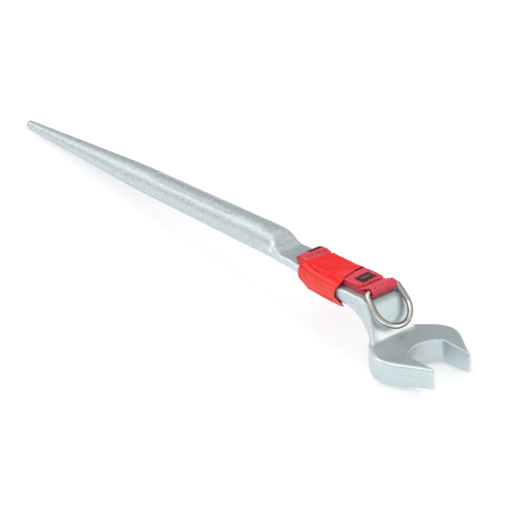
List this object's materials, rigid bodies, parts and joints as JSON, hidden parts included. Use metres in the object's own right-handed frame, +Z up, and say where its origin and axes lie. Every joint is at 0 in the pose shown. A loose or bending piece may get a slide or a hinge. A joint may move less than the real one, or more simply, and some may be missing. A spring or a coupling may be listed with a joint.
{
  "type": "spud wrench",
  "caption": "Offset-head open-end spud wrench with a tapered drift-pin handle and a webbing tool tether whose loop lifts and whose D-ring swings.",
  "frame": {"origin": "centre of the nut seated in the jaw, halfway through the head's thickness", "axes": "+X out of the jaw, away from the handle; +Y across the jaws; +Z up, towards the side that the handle is offset to"},
  "size_m": [0.4059, 0.0581, 0.0469],
  "materials": {
    "zinc_plated_steel": "satin zinc plating over a shot-blasted forging, light edges",
    "red_heat_shrink": "glossy bright red, slightly translucent at thin edges",
    "hot_melt": "dull dark amber",
    "red_webbing": "ribbed polyester webbing, matte",
    "polished_stainless": "polished",
    "black_woven_label": "fine woven, matte",
    "dark_thread": "twisted polyester thread",
    "red_thread": "twisted polyester thread"
  },
  "bodies": {
    "wrench": {"wrench_forging": "zinc_plated_steel", "heat_shrink_sleeve": "red_heat_shrink", "sleeve_adhesive_lining": "hot_melt", "webbing_tail": "red_webbing", "rear_label": "black_woven_label", "rear_label_stitching": "dark_thread", "tail_bar_tack": "red_thread"},
    "strap_loop": {"webbing_loop": "red_webbing", "front_label": "black_woven_label", "front_label_stitching": "dark_thread", "loop_bar_tack": "red_thread"},
    "ring": {"d_ring": "polished_stainless"}
  },
  "joints": [
    {"name": "loop_lift", "type": "hinge", "parent": "wrench", "child": "strap_loop", "pos_m": [-0.0705, 0, 0.0306], "axis": [0, -1, 0], "range_deg": [0, 70]},
    {"name": "ring_swing", "type": "hinge", "parent": "strap_loop", "child": "ring", "pos_m": [-0.0464, 0, 0.03206], "axis": [0, -1, 0], "range_deg": [0, 180]}
  ]
}
